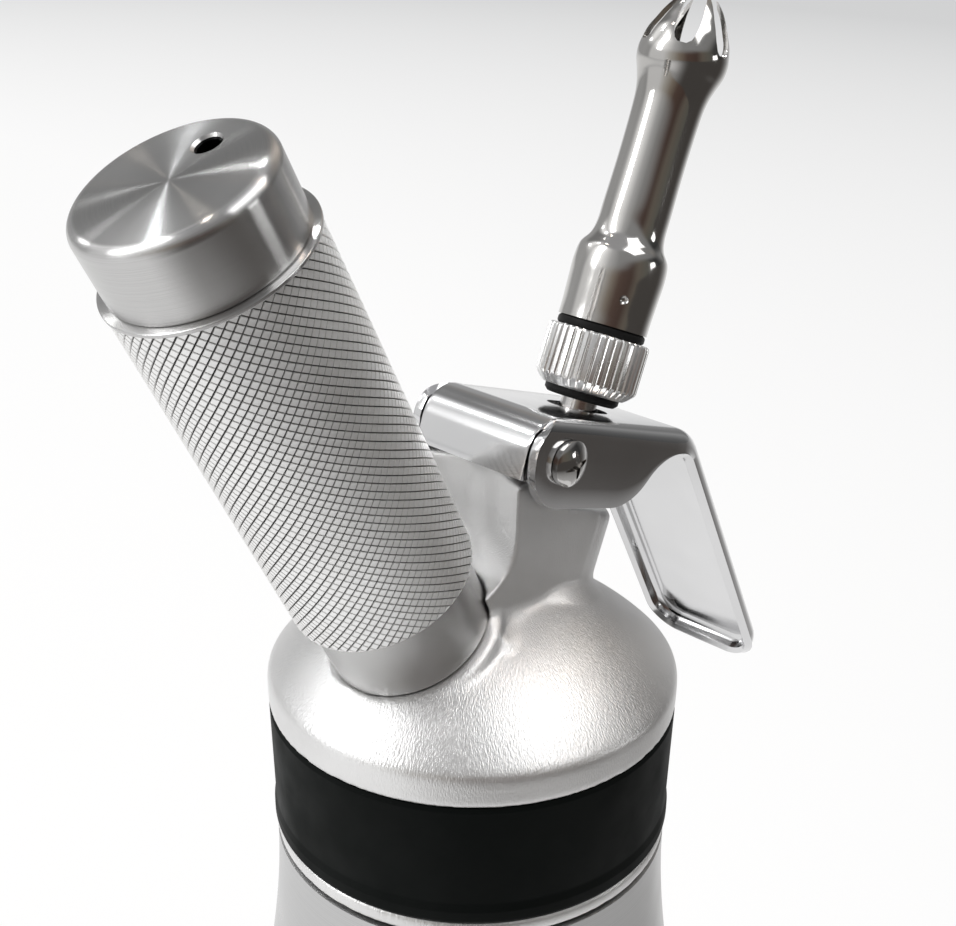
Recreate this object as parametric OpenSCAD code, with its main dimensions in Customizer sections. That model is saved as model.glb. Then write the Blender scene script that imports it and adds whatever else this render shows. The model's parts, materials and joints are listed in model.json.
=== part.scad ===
// Whipped cream dispenser: an aluminium bottle with a screw-on cast head.
// The head carries a knurled charger holder that leans to one side, and a
// lever that pushes a spring-loaded valve stem with the decorator tip on it.
// Millimetres. +Z is up, +X points to the lever's handle, and the origin is
// the centre of the bottle's base. The part is symmetric about the XZ plane.

/* [Bottle] */
// Outside diameter of the bottle's body
bottle_d = 80; // [78:0.5:82]
// Height of the seam between the head's rim and the grip band
rim_z = 176; // [165:1:190]
// Thickness of the bottle's wall
bottle_wall = 2; // [1.6:0.1:2.4]
// Length of the bottle's curved shoulder
shoulder_h = 72; // [60:1:90]

/* [Head] */
// Outside diameter of the head at its rim
head_d = 66; // [65.8:0.1:66.4]
// Height of the rubber grip band
band_h = 21; // [19:0.5:21]
// Radius of the head's domed top
dome_r = 45; // [44.6:0.1:45.4]
// Width of the tower between the lever's ears
tower_w = 21; // [20:0.2:21.6]

/* [Charger holder] */
// Lean of the charger holder, away from the lever
holder_tilt = 26.8; // [26:0.1:27.5]
// Knurl diameter of the charger holder
grip_d = 28.4; // [28:0.1:28.8]
// Bore for a charger of 17.7 mm
charger_bore_d = 18.4; // [18.2:0.1:18.6]

/* [Nozzle] */
// Lean of the valve stem and the decorator tip, towards the lever
nozzle_tilt = 23.2; // [22.8:0.1:23.6]
// Outside diameter of the knurled adapter
nut_d = 17; // [16.6:0.1:17.4]
// Teeth around the adapter's straight knurl
nut_teeth = 40; // [30:1:48]
// Petals of the decorator tip, an even number
petals = 6; // [4:2:8]

/* [Lever] */
// Slope of the lever's web, down towards the handle
web_tilt = 19; // [18.5:0.1:19.5]
// Further bend from the web down to the handle
handle_bend = 42.4; // [40:0.2:45]
// Thickness of the pressed sheet
sheet = 1.5; // [1.3:0.1:1.5]
// Length of the handle below the bend
handle_len = 61.8; // [55:0.2:64]

/* [Hidden] */
$fn = 64;
eps = 0.02;

// Bottle, radii and heights
bottle_r = bottle_d / 2;
foot_r = 34;
foot_round = bottle_r - foot_r;
shoulder_top_r = 32.5;
shoulder_top_z = rim_z - 24.3;
neck_r = 28.5;
neck_bore_r = 26;
neck_top = -6;

// Head, heights from the rim's seam
head_r = head_d / 2;
skirt_r = 31.2;
skirt_bore_r = 28.9;
skirt_bottom = -23.7;
ring_r = 32.6;
dome_centre = -25.3;
dome_wall = 5;
roof_z = -3.6;
roof_r = 24;
crease_r = 1.75;

// Charger holder, stations along its axis from the rim's plane
holder_x = -5.84;
boss_r = 14.6;
boss_top = 18.4;
collar_r = 12.66;
collar_bottom = 18.6;
knurl_bottom = 30.7;
knurl_top = 90.3;
ring_top = 91;
cap_r = 13.37;
cap_bottom = 91.05;
cap_top = 101.6;
cap_round = 1.7;
tube_r = 11.9;
tube_top = 97;
stub_r = 9.55;
stub_top = 33;
recess_r = 4.6;
recess_bottom = 26;
vent_r = 1.75;
vent_offset = 7.1;

// Valve and nozzle, stations along their axis from the rim's plane
nozzle_x = 6.38;
tower_top = 31.2;
tower_back_r = 10.3;
chamber_r = 4.6;
guide_r = 5;
guide_bottom = 20;
flange_top = 32.2;
seat = -1;
stem_r = 3;
stem_bore_r = 1.8;
stem_top = 60;
stem_bottom = -9;
thrust_r = 5.8;
thrust_top = 43.75;
thrust_h = 1.5;
nut_bottom = 48.5;
nut_top = 58.2;
spigot_r = 5.9;
spigot_top = 64;
tip_bottom = 59.7;

// Valve spring
spring_turns = 4;
spring_mean_r = 4.7;
wire_r = 0.5;
spring_bottom = flange_top + wire_r + eps;
spring_top = thrust_top - thrust_h - wire_r - eps;

// Lever hinge, and the lever's own frame: u along the web, w up from the hinge
hinge_x = 6.4;
hinge_z = 41.7;
pin_r = 2;
web_top = 6.2;
ear_half = 12.8;
curl_half = 10.9;
curl_centre = [-1.7, 0.4];
curl_r = web_top - curl_centre[1];
curl_bottom = -3.6;
slit_half = 11.1;
slit_end = -0.5;
ear_r = 7.2;
flange_depth = 3.7;
corner_u = 35.6;
bend_r = 9;
bend_run = bend_r * tan(handle_bend / 2);
plate_half = 12.65;
dish_half = plate_half - 0.25;
splay = 0.4;

// ---------------------------------------------------------------- helpers

// Points on an arc about c, from angle a to angle b
function arc(c, r, a, b, n = 12) =
    [for (i = [0:n]) let (t = a + (b - a) * i / n) c + r * [cos(t), sin(t)]];

module turned(profile) rotate_extrude($fn = 96) polygon(profile);

module from_rim() translate([0, 0, rim_z]) children();

module on_holder()
    from_rim() translate([holder_x, 0, 0]) rotate([0, -holder_tilt, 0]) children();

module on_nozzle()
    from_rim() translate([nozzle_x, 0, 0]) rotate([0, nozzle_tilt, 0]) children();

module on_hinge() from_rim() translate([hinge_x, 0, hinge_z]) children();

module in_lever_frame() on_hinge() rotate([0, web_tilt, 0]) children();

// An outline in the XZ plane, given thickness along Y
module plate_xz(width, at_y = 0)
    translate([0, at_y, 0]) rotate([90, 0, 0])
        linear_extrude(width, center = true) children();

module ring(outer, inner, low, high)
    turned([[inner, low], [outer, low], [outer, high], [inner, high]]);

// ----------------------------------------------------------------- bottle

// The shoulder swells from the neck's shelf to the body in a smooth S
function shoulder(wall) = [for (i = [0:16]) let (t = i / 16) [
    bottle_r - wall - (bottle_r - shoulder_top_r) * (1 - cos(180 * t)) / 2,
    shoulder_top_z - (1 - t) * shoulder_h - wall * t]];

function reversed(list) = [for (i = [len(list) - 1:-1:0]) list[i]];

module bottle() color("silver") turned(concat(
    [[0, 0]],
    arc([foot_r, foot_round], foot_round, -90, 0),
    shoulder(0),
    [[neck_r + 0.8, shoulder_top_z], [neck_r, shoulder_top_z + 0.8],
        [neck_r, rim_z + neck_top - 0.8], [neck_r - 0.8, rim_z + neck_top],
        [neck_bore_r + 0.4, rim_z + neck_top], [neck_bore_r, rim_z + neck_top - 0.4],
        [neck_bore_r, shoulder_top_z - bottle_wall]],
    reversed(shoulder(bottle_wall)),
    arc([foot_r, foot_round], foot_round - bottle_wall, 0, -90),
    [[0, bottle_wall]]));

// ------------------------------------------------------------------- head

module head_cap() turned(concat(
    [[0, 0], [skirt_bore_r, 0], [skirt_bore_r, skirt_bottom], [ring_r - 0.4, skirt_bottom],
        [ring_r, skirt_bottom + 0.4], [ring_r, -band_h], [skirt_r, -band_h], [skirt_r, 0],
        [head_r, 0]],
    arc([head_r - crease_r + 0.05, 4.5], crease_r, 0, 43),
    arc([0, dome_centre], dome_r, 43.6, 90, 20)));

// Underside of the head: a ledge for the gasket and a hollow dome inside it
module head_hollow() turned(concat(
    [[0, skirt_bottom - 1], [skirt_bore_r, skirt_bottom - 1], [skirt_bore_r, roof_z],
        [roof_r, roof_z]],
    arc([0, dome_centre], dome_r - dome_wall, acos(roof_r / (dome_r - dome_wall)), 90)));

// Side view of the tower: a block with a round lug for the hinge pin
module tower_outline() {
    lean = [sin(nozzle_tilt), cos(nozzle_tilt)];
    across = [cos(nozzle_tilt), -sin(nozzle_tilt)];
    foot = [nozzle_x, 0];
    translate([hinge_x, hinge_z]) circle(r = 4.2);
    polygon([
        [-9, 10], [-9, 39.3], [0.6, 39.3], [3.4, 44.7], [9.4, 44.7], [10.5, 40],
        foot + tower_top * lean - 9 * across,
        foot + tower_top * lean, foot + 14 * lean]);
}

// Fillet between the dome and an upright side at r: an arc of the given size
// that starts at height z, then a drop to a foot under the dome
function fillet(r, size, z, foot) = concat(
    [[r - 1, z], [r, z]], arc([r + size, z], size, 190, 252, 6),
    [foot, foot - [0, 1.5], [r - 1, 13]]);

// The tower's base flares out into the dome, widest beside the charger holder
// and fading along its sides to a small fillet round the boss in front
module tower_flare() {
    for (side = [0, 1]) mirror([0, side, 0])
        from_rim() translate([-9, tower_w / 2, 0]) rotate([0, 0, -8]) rotate([90, 0, 90])
            linear_extrude(20) polygon(fillet(0, 6, 23, [5.1, 16]));
    on_nozzle() turned(fillet(tower_back_r, 2.2, 20.4, [tower_back_r + 3.4, 16.8]));
}

// Hollow in the tower's front that gives fingers room round the holder
module tower_scoop() translate([-19, 0, 0]) turned(concat(
    [[0, 60], [20, 60]], arc([12, 31], 8, 0, -90), [[0, 23]]));

module head_casting() color("gainsboro") difference() {
    union() {
        difference() {
            union() {
                from_rim() head_cap();
                tower_flare();
                from_rim() plate_xz(tower_w) tower_outline();
                on_nozzle() turned([[0, 10], [tower_back_r, 10], [tower_back_r, tower_top - 1],
                    [tower_back_r - 1, tower_top], [0, tower_top]]);
                on_holder() turned([[0, 5], [boss_r, 5], [boss_r, boss_top - 0.8],
                    [boss_r - 0.8, boss_top], [0, boss_top]]);
            }
            from_rim() head_hollow();
            from_rim() tower_scoop();
            on_holder() turned([[0, boss_top], [collar_r + 0.3, boss_top],
                [collar_r + 0.3, knurl_bottom - 0.8], [grip_d / 2 + 0.7, knurl_bottom + 0.4],
                [grip_d / 2 + 0.7, 100], [0, 100]]);
        }
        on_nozzle() translate([0, 0, seat]) cylinder(r = 8.2, h = 19);
        on_holder() translate([0, 0, 2]) cylinder(r = 7.5, h = 14);
    }
    // Valve chamber with its conical seat, and the guide's bore above it
    on_nozzle() {
        translate([0, 0, seat - 1]) cylinder(r = chamber_r, h = 30);
        translate([0, 0, seat - 0.01]) cylinder(r1 = chamber_r + 1.1, r2 = chamber_r, h = 1.1);
        translate([0, 0, guide_bottom]) cylinder(r = guide_r, h = 20);
    }
    // Gas passage from the inlet down into the bottle
    on_holder() {
        translate([0, 0, 10]) cylinder(r = guide_r, h = 12);
        translate([0, 0, 1]) cylinder(r = 1.5, h = 12);
        translate([0, 0, 0]) cylinder(r = 3.6, h = 6);
    }
    on_hinge() rotate([90, 0, 0]) cylinder(r = pin_r + eps, h = 40, center = true);
}

module head_gasket() color("white")
    from_rim() ring(neck_r + 0.2, roof_r + 0.4, neck_top, roof_z);

// Tapers a little downwards and ends in a soft lip
module grip_band() color([0.06, 0.07, 0.07]) from_rim() turned([
    [skirt_r, -band_h], [32.4, -band_h], [32.85, 0.5 - band_h], [32.85, 2.6 - band_h],
    [32.55, 3.6 - band_h], [head_r - 0.05, -0.5], [head_r - 0.4, 0], [skirt_r, 0]]);

module charger_inlet() color("lightgray") on_holder() turned([
    [1.2, 10.1], [guide_r - eps, 10.1], [guide_r - eps, boss_top], [stub_r, boss_top],
    [stub_r, stub_top - 1], [stub_r - 1, stub_top], [recess_r, stub_top],
    [recess_r, recess_bottom], [1.2, recess_bottom]]);

module piercing_pin() color("silver") on_holder() turned([
    [0.45, recess_bottom], [recess_r - eps, recess_bottom],
    [recess_r - eps, recess_bottom + 1.2], [1.2, recess_bottom + 1.2],
    [1.2, stub_top - 2.6], [0.45, stub_top - 1]]);

module inlet_gasket() color("dimgray") on_holder()
    ring(recess_r - eps, 1.2 + eps, recess_bottom + 1.2, recess_bottom + 3.2);

module check_valve() color("dimgray") on_holder() ring(3.5, 0.8, 4.2, 6);

module check_valve_plug() color("gold") on_holder() ring(3.58, 1.2, 1.2, 4.2);

module valve_guide() color("lightgray") on_nozzle() turned([
    [stem_r + 0.06, guide_bottom], [guide_r - eps, guide_bottom],
    [guide_r - eps, tower_top], [6.6, tower_top], [6.6, flange_top],
    [stem_r + 0.06, flange_top], [stem_r + 0.06, 25.8], [4.45, 25.8], [4.45, 24.2],
    [stem_r + 0.06, 24.2]]);

module guide_o_ring() color("black") on_nozzle()
    translate([0, 0, 25]) rotate_extrude() translate([3.75, 0]) circle(r = 0.68, $fn = 24);

module hinge_pin() color("silver") on_hinge() rotate([-90, 0, 0]) difference() {
    turned(concat([[0, -12.9], [pin_r, -12.9], [pin_r, 12.95], [3.55, 12.95], [3.55, 13.4]],
        arc([0, 8.5], 6, 55, 90, 6)));
    translate([0, 0, -13]) cylinder(r = 1.25, h = 9);
}

module hinge_screw() color("silver") on_hinge() rotate([90, 0, 0]) difference() {
    turned(concat([[0, 5], [1.22, 5], [1.22, 12.95], [3.55, 12.95], [3.55, 13.4]],
        arc([0, 8.5], 6, 55, 90, 6)));
    for (turn = [35, 125]) rotate([0, 0, turn]) translate([-2.1, -0.35, 13.6])
        cube([4.2, 0.7, 2]);
}

// --------------------------------------------------------- charger holder

module holder_body() color("silver") on_holder() turned([
    [stub_r + 0.1, collar_bottom], [collar_r - 0.3, collar_bottom],
    [collar_r, collar_bottom + 0.3], [collar_r, knurl_bottom], [tube_r, knurl_bottom],
    [tube_r, tube_top], [charger_bore_d / 2, tube_top],
    [charger_bore_d / 2, stub_top + 2], [stub_r + 0.1, stub_top + 1.5]]);

module grip_sleeve() color("lightgray") on_holder() turned([
    [tube_r + eps, knurl_bottom], [grip_d / 2 - 0.9, knurl_bottom],
    [grip_d / 2, knurl_bottom + 0.9], [grip_d / 2, knurl_top],
    [grip_d / 2 + 0.28, knurl_top], [grip_d / 2 + 0.28, ring_top - 0.3],
    [grip_d / 2, ring_top], [tube_r + eps, ring_top]]);

module holder_cap() color("gainsboro") on_holder() difference() {
    turned(concat(
        [[0, tube_top + eps], [tube_r + eps, tube_top + eps], [tube_r + eps, cap_bottom],
            [cap_r - 0.2, cap_bottom], [cap_r, cap_bottom + 0.2]],
        arc([cap_r - cap_round, cap_top - cap_round], cap_round, 0, 90, 8),
        [[0, cap_top]]));
    translate([vent_offset, 0, tube_top - 1]) cylinder(r = vent_r, h = 8);
    translate([vent_offset, 0, cap_top - 0.5]) cylinder(r1 = vent_r, r2 = vent_r + 0.6, h = 0.52);
}

// ------------------------------------------------------------------ lever

// Square-shouldered block with rounded top edges, seen along the web
module rounded_top(half, top, round) {
    translate([-half, -30]) square([2 * half, 30 + top - round]);
    translate([round - half, 0]) square([2 * (half - round), top]);
    for (side = [-1, 1]) translate([side * (half - round), top - round]) circle(r = round);
}

// Section of the pressed channel across the web
module channel() difference() {
    rounded_top(ear_half, web_top, 2.6);
    rounded_top(ear_half - sheet, web_top - sheet, 1.1);
}

// Side view of the ears: round about the hinge, deep under the web, then
// rising in an S to the narrow flange that runs on down the handle
module ear_outline() {
    s_turn = 56;
    s_r = 10.9;
    s_end = corner_u - bend_run;
    s_start = s_end - 2 * s_r * sin(s_turn);
    s_low = web_top - flange_depth - 2 * s_r * (1 - cos(s_turn));
    translate(curl_centre) circle(r = curl_r);
    intersection() {
        circle(r = ear_r);
        translate([-10, -10]) square([20, 10.4]);
    }
    polygon(concat(
        [[-1.7, 0], [0, s_low]],
        arc([s_start, s_low + s_r], s_r, -90, s_turn - 90),
        arc([s_end, web_top - flange_depth - s_r], s_r, 90 + s_turn, 90),
        [[s_end, web_top], [-1.7, web_top]]));
}

// The web's front edge rolls down over the tower
module curl_outline() polygon(concat(
    arc(curl_centre, curl_r, 90, 180),
    [[curl_centre[0] - curl_r, curl_bottom], [curl_centre[0] - curl_r + sheet, curl_bottom]],
    arc(curl_centre, curl_r - sheet, 180, 90),
    [[slit_end + 1.5, web_top - sheet], [slit_end + 1.5, web_top]]));

// One face of the handle's dish, round at its lower corners
module dish_face(depth, half, length, round)
    translate([0, 0, -depth]) linear_extrude(0.01) {
        translate([bend_run - 0.4, -half]) square([1, 2 * half]);
        for (side = [-1, 1])
            translate([length - round, side * (half - round)]) circle(r = round, $fn = 32);
    }

// The handle is a shallow pressed dish, open towards the bottle
module handle_dish() difference() {
    hull() {
        dish_face(0.01, dish_half - 1.1, handle_len - 1.1, 6.5);
        dish_face(1.1, dish_half, handle_len, 7.5);
        dish_face(flange_depth, dish_half + splay, handle_len + 0.6, 7.5);
    }
    hull() {
        dish_face(sheet, dish_half - sheet, handle_len - sheet, 6);
        dish_face(flange_depth + 0.1, dish_half + splay - 1.4, handle_len - 0.8, 6.2);
        translate([-2, 0, 0]) {
            dish_face(sheet, dish_half - sheet, 20, 6);
            dish_face(flange_depth + 0.1, dish_half + splay - 1.4, 20, 6.2);
        }
    }
}

// Section of the bent channel, from the round-edged web (t = 0) to the
// splayed dish of the handle (t = 1), as points across and down
function bend_section(t) = let (
    half = (1 - t) * ear_half + t * plate_half,
    round = (1 - t) * 2.6 + t * 1.7,
    low = -flange_depth,
    outer = concat([[-half - t * splay, low]], arc([round - half, -round], round, 180, 90, 4),
        arc([half - round, -round], round, 90, 0, 4), [[half + t * splay, low]]),
    inner = concat([[sheet - half - t * splay, low]],
        arc([round - half, -round], round - sheet, 180, 90, 4),
        arc([half - round, -round], round - sheet, 90, 0, 4), [[half + t * splay - sheet, low]]))
    concat(outer, reversed(inner));

// The bend itself: the section swept round an arc, changing as it goes
module channel_bend() {
    steps = 6;
    count = len(bend_section(0));
    last = steps * count;
    centre = [corner_u - bend_run, web_top - bend_r];
    points = [for (i = [0:steps], p = bend_section(i / steps))
        let (turn = handle_bend * i / steps, r = bend_r + p[1])
        [centre[0] + r * sin(turn), p[0], centre[1] + r * cos(turn)]];
    quads = [for (i = [0:steps - 1], k = [0:count - 1])
        let (n = (k + 1) % count) each [
            [i * count + k, i * count + n, (i + 1) * count + k],
            [i * count + n, (i + 1) * count + n, (i + 1) * count + k]]];
    // The ends are strips of triangles between the outer and the inner line
    ends = [for (k = [0:count / 2 - 2]) let (m = count - 1 - k) each [
        [k, m, k + 1], [k + 1, m, m - 1],
        [last + k, last + k + 1, last + m], [last + k + 1, last + m - 1, last + m]]];
    polyhedron(points, concat(quads, ends));
}

module lever() color("silver") in_lever_frame() difference() {
    union() {
        // Channel of web and ears; ahead of the slits only the ears go on
        difference() {
            intersection() {
                rotate([90, 0, 90]) translate([0, 0, -9]) linear_extrude(60) channel();
                plate_xz(30) ear_outline();
            }
            translate([-12, -slit_half, -12]) cube([12 + slit_end, 2 * slit_half, 30]);
        }
        plate_xz(2 * curl_half) curl_outline();
        channel_bend();
        // Set in by a little, so that it ends inside the bend's sheet
        translate([corner_u, 0, web_top]) rotate([0, handle_bend, 0])
            translate([0, 0, -0.2]) handle_dish();
    }
    rotate([90, 0, 0]) cylinder(r = pin_r + 0.06, h = 40, center = true);
    // Slot for the valve stem, long enough for the stem's swing in the web
    for (u = [15.2, 17.2]) translate([u, 0, 2]) cylinder(r = 4.1, h = 8);
    translate([15.2, -4.1, 2]) cube([2, 8.2, 8]);
}

// ------------------------------------------------------ valve and nozzle

module valve_stem() color("silver") on_nozzle() difference() {
    turned([[0, stem_bottom], [4.6, stem_bottom], [4.6, stem_bottom + 2.8],
        [stem_r, stem_bottom + 2.8], [stem_r, thrust_top - thrust_h],
        [thrust_r, thrust_top - thrust_h], [thrust_r, thrust_top],
        [stem_r, thrust_top], [stem_r, stem_top], [stem_bore_r, stem_top],
        [stem_bore_r, 2], [0, 2]]);
    for (turn = [0, 90]) rotate([0, 0, turn]) translate([0, 0, 4.5])
        rotate([0, 90, 0]) cylinder(r = 1.2, h = 10, center = true);
}

module valve_gasket() color("dimgray") on_nozzle() turned([
    [stem_r + eps, stem_bottom + 2.8], [5.4, stem_bottom + 2.8], [6.3, stem_bottom + 3.8],
    [6.3, seat - 0.75], [4.2, seat + 1.35], [stem_r + eps, seat + 1.35]]);

// Points along the coil, and the six-sided wire swept along them
spring_rings = 8 * spring_turns;
function coil_point(i) = let (t = i / spring_rings) [
    spring_mean_r * cos(360 * spring_turns * t),
    spring_mean_r * sin(360 * spring_turns * t),
    spring_bottom + (spring_top - spring_bottom) * t];
function wire_ring(i) = let (a = 360 * spring_turns * i / spring_rings, p = coil_point(i))
    [for (k = [0:5]) p + wire_r * cos(60 * k) * [cos(a), sin(a), 0]
        + wire_r * sin(60 * k) * [0, 0, 1]];
spring_gap = (spring_top - spring_bottom) / spring_turns - 2 * wire_r;
echo(str("Least gap between the spring's turns: ", spring_gap, " mm"));

module valve_spring() color("silver") on_nozzle() polyhedron(
    points = [for (i = [0:spring_rings]) each wire_ring(i)],
    faces = concat(
        [[for (k = [0:5]) k]],
        [for (i = [0:spring_rings - 1], k = [0:5]) each [
            [6 * i + k, 6 * i + 6 + k, 6 * i + (k + 1) % 6],
            [6 * i + (k + 1) % 6, 6 * i + 6 + k, 6 * i + 6 + (k + 1) % 6]]],
        [[for (k = [5:-1:0]) 6 * spring_rings + k]]));

// Straight knurl: a tooth every step, with a small flat on each crest
module nut_section() polygon([for (i = [0:nut_teeth - 1], k = [0:3])
    let (a = 360 * (i + [0, 0.2, 0.45, 0.75][k]) / nut_teeth,
        r = nut_d / 2 - [0.45, 0.45, 0, 0][k]) r * [cos(a), sin(a)]]);

module adapter_nut() color("silver") on_nozzle() difference() {
    union() {
        intersection() {
            translate([0, 0, nut_bottom]) linear_extrude(nut_top - nut_bottom) nut_section();
            turned([[0, nut_bottom], [nut_d / 2 - 1.7, nut_bottom],
                [nut_d / 2 + 0.1, nut_bottom + 1.5], [nut_d / 2 + 0.1, nut_top - 0.5],
                [nut_d / 2 - 0.5, nut_top], [0, nut_top]]);
        }
        cylinder_between(spigot_r, nut_top - 1, spigot_top);
    }
    cylinder_between(stem_r + eps, nut_bottom - 1, stem_top + eps);
    cylinder_between(2.4, nut_bottom, spigot_top + 1);
}

module cylinder_between(r, low, high) translate([0, 0, low]) cylinder(r = r, h = high - low);

module adapter_o_ring() color("black") on_nozzle()
    turned([[spigot_r + eps, nut_top], [7.1, nut_top], [7.3, nut_top + 0.4],
        [7.3, tip_bottom - 0.4], [7.1, tip_bottom], [spigot_r + eps, tip_bottom]]);

// Outline of the tip: socket, waist and closed tulip; skin is taken off
// the radius to give the inside of the same spun sheet
function tip_outline(skin) = concat(
    [[7.45 - skin, 59.7], [7.5 - skin, 63]],
    arc([3.1 - skin, 68.4], 4.5, -10, 35, 6),
    arc([12.3 - skin, 74.6], 6.65, 205, 180, 5),
    [[5.5 - skin, 90]],
    arc([14.4 - skin, 94.5], 8.75, 183, 149, 5),
    arc([0.7 - skin / 2, 104], 6.6 - skin / 2, -14, 62, 9));

module decorator_tip() color("silver") on_nozzle() difference() {
    turned(concat(tip_outline(0), [[2.6, 113.6], [1.9, 113.6]],
        reversed([for (p = tip_outline(0.9)) p[1] > 66 ? p : [spigot_r + 0.08, p[1]]])));
    // V slots part the petals; each cut makes two slots, opposite each other
    for (i = [0:petals / 2 - 1]) rotate([0, 0, 29 + 360 * i / petals])
        rotate([90, 0, 90]) linear_extrude(30, center = true) polygon([
            [-0.7, 104.6], [0.7, 104.6], [1.4, 105.2], [1.85, 107.2],
            [1.8, 110.2], [1.1, 114], [-1.1, 114],
            [-1.8, 110.2], [-1.85, 107.2], [-1.4, 105.2]]);
}

bottle();
head_casting();
head_gasket();
grip_band();
charger_inlet();
piercing_pin();
inlet_gasket();
check_valve();
check_valve_plug();
valve_guide();
guide_o_ring();
hinge_pin();
hinge_screw();
holder_body();
grip_sleeve();
holder_cap();
lever();
valve_stem();
valve_gasket();
valve_spring();
adapter_nut();
adapter_o_ring();
decorator_tip();
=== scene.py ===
import json
from math import acos, atan2, cos, pi, radians, sin, sqrt, tan

import bmesh
import bpy
import numpy as np
from mathutils import Matrix, Vector


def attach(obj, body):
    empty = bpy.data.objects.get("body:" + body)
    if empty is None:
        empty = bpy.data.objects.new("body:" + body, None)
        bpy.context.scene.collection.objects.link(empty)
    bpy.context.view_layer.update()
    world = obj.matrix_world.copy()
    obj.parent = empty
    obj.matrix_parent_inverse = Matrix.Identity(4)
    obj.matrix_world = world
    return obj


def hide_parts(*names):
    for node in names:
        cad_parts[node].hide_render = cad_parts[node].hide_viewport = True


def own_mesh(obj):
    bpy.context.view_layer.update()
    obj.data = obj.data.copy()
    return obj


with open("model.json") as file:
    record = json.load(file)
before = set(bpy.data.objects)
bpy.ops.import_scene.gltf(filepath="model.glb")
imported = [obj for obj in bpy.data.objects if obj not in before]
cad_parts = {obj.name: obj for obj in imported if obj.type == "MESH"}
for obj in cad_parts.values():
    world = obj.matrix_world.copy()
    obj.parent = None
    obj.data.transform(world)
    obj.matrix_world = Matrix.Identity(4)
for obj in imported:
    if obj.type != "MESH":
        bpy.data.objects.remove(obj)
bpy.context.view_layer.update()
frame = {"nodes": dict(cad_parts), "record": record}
scene = bpy.context.scene


# ------------------------------------------------------------------ places

# Lengths are in millimetres until a mesh is made, and angles are in degrees. A
# profile is a list of (r, z) points, which stays the radius AXIS away from its
# own axis, so that the faces there keep four corners.
MM = 0.001
AXIS = 0.01


def move(x, y, z):
    """A move by millimetres, as a place."""
    return Matrix.Translation((x * MM, y * MM, z * MM))


def rotate(angle, axis):
    """A turn round the X, Y or Z axis, as a place."""
    return Matrix.Rotation(radians(angle), 4, axis)


def axis_of(place):
    """The way a place's Z axis points."""
    return place.to_3x3() @ Vector((0, 0, 1))


RIM = move(0, 0, 176)  # the seam between the casting and the grip band
HOLDER = RIM @ move(-5.84, 0, 0) @ rotate(-26.8, "Y")
VENT = HOLDER @ rotate(8, "Z") @ move(7.2, 0, 0)
NOZZLE = RIM @ move(6.38, 0, 0) @ rotate(23.2, "Y")
HINGE = RIM @ move(6.4, 0, 41.7)
HINGE_PIN = HINGE @ rotate(90, "X")
LEVER = HINGE @ rotate(19, "Y")

# Radii and heights on the charger holder's axis
TUBE_RADIUS, KNURL_RADIUS, VENT_RADIUS = 11.9, 14.2, 1.6
SLEEVE_LOW, SLEEVE_HIGH = 30.75, 91

# Radii and heights on the nozzle's axis
STEM_RADIUS, STEM_HOLE, SPIGOT_RADIUS = 3, 3.02, 5.9
GUIDE_HIGH, COLLAR_LOW, COLLAR_HIGH = 32.2, 42.25, 43.75
NUT_LOW, NUT_HIGH, TIP_LOW, SPIGOT_HIGH = 48.5, 58.2, 59.7, 64


# ------------------------------------------------------------------ camera

def look():
    """The photograph's camera, from its fit to the object's rims and axes."""
    azimuth, elevation, roll = radians(-47.134), radians(23.556), radians(0.772)
    flat = cos(elevation)
    back = Vector((sin(azimuth) * flat, -cos(azimuth) * flat, sin(elevation)))
    right = Vector((cos(azimuth), sin(azimuth), 0))
    up = back.cross(right)
    x = right * cos(roll) + up * sin(roll)
    y = up * cos(roll) - right * sin(roll)
    place = Matrix((x, y, back)).transposed().to_4x4()
    place.translation = Vector((-144.677, -134.879, 301.883)) * MM
    camera = bpy.data.objects.new("camera", bpy.data.cameras.new("camera"))
    camera.data.lens = 53.275
    camera.data.sensor_width = 36
    camera.data.clip_start = 0.01
    camera.data.clip_end = 60
    camera.matrix_world = place
    scene.collection.objects.link(camera)
    scene.camera = camera


# ------------------------------------------------------------------- nodes

class Tree:
    """A node tree, with short calls to add nodes and join them."""

    NUMBERS = ("LENGTH", "DISTANCE", "DOT_PRODUCT")  # vector sums that give a number

    def __init__(self, tree):
        self.tree = tree

    def put(self, value, socket):
        """Joins the socket to another node's, or gives it a plain value."""
        if isinstance(value, bpy.types.NodeSocket):
            self.tree.links.new(value, socket)
        else:
            socket.default_value = value

    def add(self, kind, inputs=None, **settings):
        """Adds a node with its settings and its inputs, which are values or sockets."""
        node = self.tree.nodes.new(kind)
        for key, value in settings.items():
            setattr(node, key, value)
        for key, value in (inputs or {}).items():
            self.put(value, node.inputs[key])
        return node

    def math(self, operation, a, b):
        return self.add("ShaderNodeMath", {0: a, 1: b}, operation=operation).outputs[0]

    def vector(self, operation, *values):
        node = self.add("ShaderNodeVectorMath", dict(enumerate(values)), operation=operation)
        return node.outputs["Value" if operation in self.NUMBERS else "Vector"]

    def step(self, value, start, end):
        """Rises smoothly from 0 to 1 while the value goes from start to end."""
        inputs = {"Value": value, "From Min": start, "From Max": end}
        return self.add("ShaderNodeMapRange", inputs, interpolation_type="SMOOTHSTEP").outputs[0]


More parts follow.
